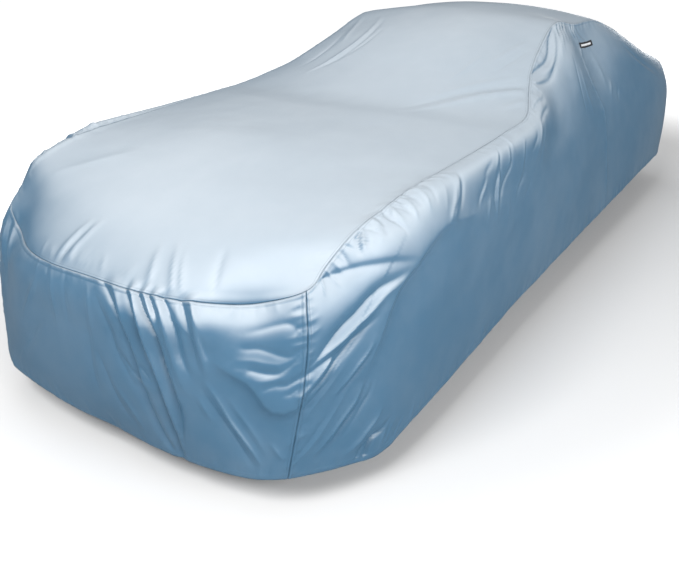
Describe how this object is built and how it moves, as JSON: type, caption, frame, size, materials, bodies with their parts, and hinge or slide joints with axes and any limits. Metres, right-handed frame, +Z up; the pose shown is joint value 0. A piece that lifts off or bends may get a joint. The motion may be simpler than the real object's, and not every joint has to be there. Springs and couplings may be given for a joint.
{
  "type": "fitted car cover",
  "caption": "Fitted outdoor cover for a long-bonnet two-door car: coated cloth panels sewn along the bonnet and roof edges, hanging to an open hem as it does over the car.",
  "frame": {"origin": "the point on the underside of the top where the middle of the car's roof holds the cover up", "axes": "-Y towards the nose, +X towards the car's left side, +Z up; the ground under the car is at z = -1.358 m"},
  "size_m": [1.9157, 4.9338, 1.2549],
  "materials": {
    "cloth": "satin grey-blue coated polyester",
    "label": "black woven tape with a plain pale stripe"
  },
  "bodies": {
    "root": {"top_panel": "cloth", "front_panel": "cloth", "left_front_side_panel": "cloth", "left_rear_side_panel": "cloth", "rear_panel": "cloth", "right_rear_side_panel": "cloth", "right_front_side_panel": "cloth", "sewn_label": "label"}
  },
  "joints": []
}
